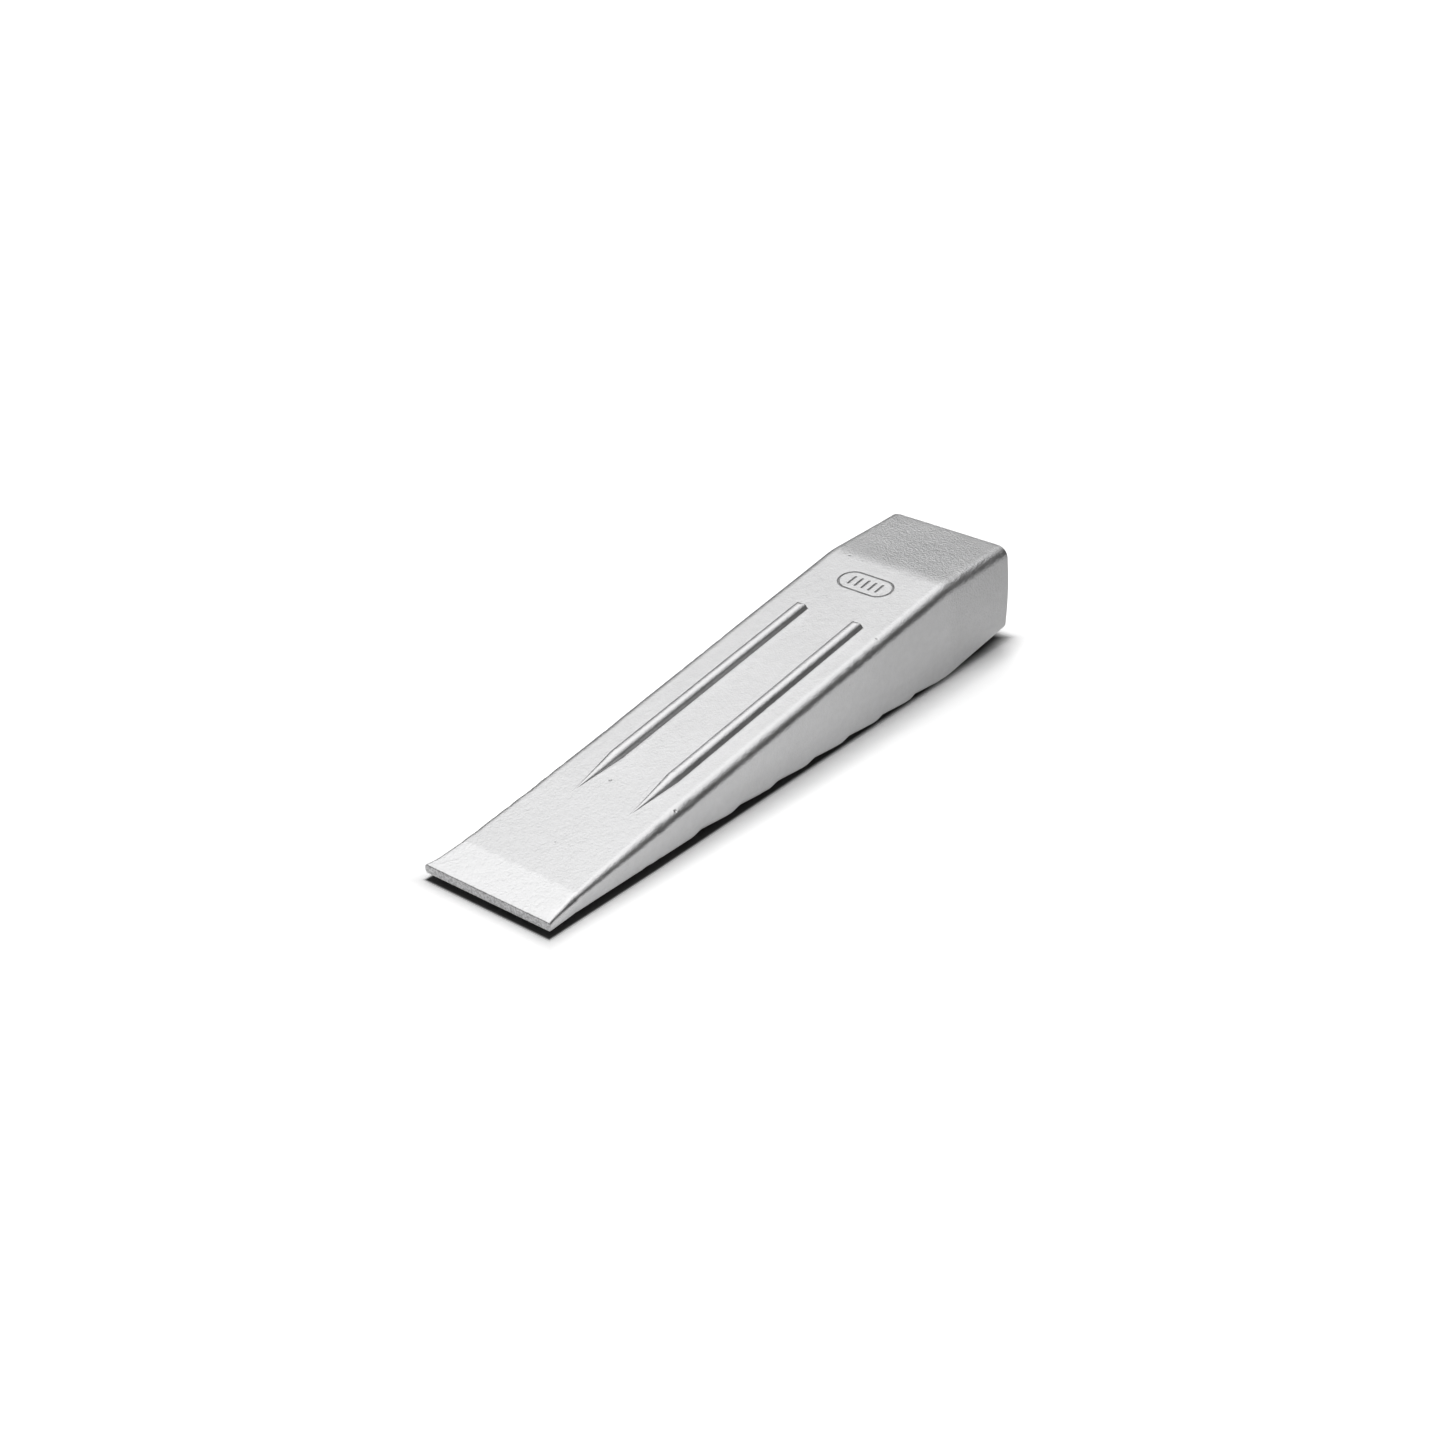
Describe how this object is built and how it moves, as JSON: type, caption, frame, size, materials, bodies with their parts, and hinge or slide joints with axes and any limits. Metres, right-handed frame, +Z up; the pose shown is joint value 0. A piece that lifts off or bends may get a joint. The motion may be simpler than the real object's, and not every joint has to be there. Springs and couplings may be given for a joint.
{
  "type": "felling wedge",
  "caption": "Solid forged aluminium felling wedge with raised guide ribs, barbed underside, bevelled tip and chamfered striking head.",
  "frame": {"origin": "centre of the bounding box in X and Y, on the surface that the wedge lies on", "axes": "+Z up from the barbed underside, +X from the tip towards the striking head, +Y across the width"},
  "size_m": [0.2636, 0.057, 0.0409],
  "materials": {
    "forged_aluminium": "shot-blasted, fine satin grain"
  },
  "bodies": {
    "root": {"wedge_body": "forged_aluminium"}
  },
  "joints": []
}
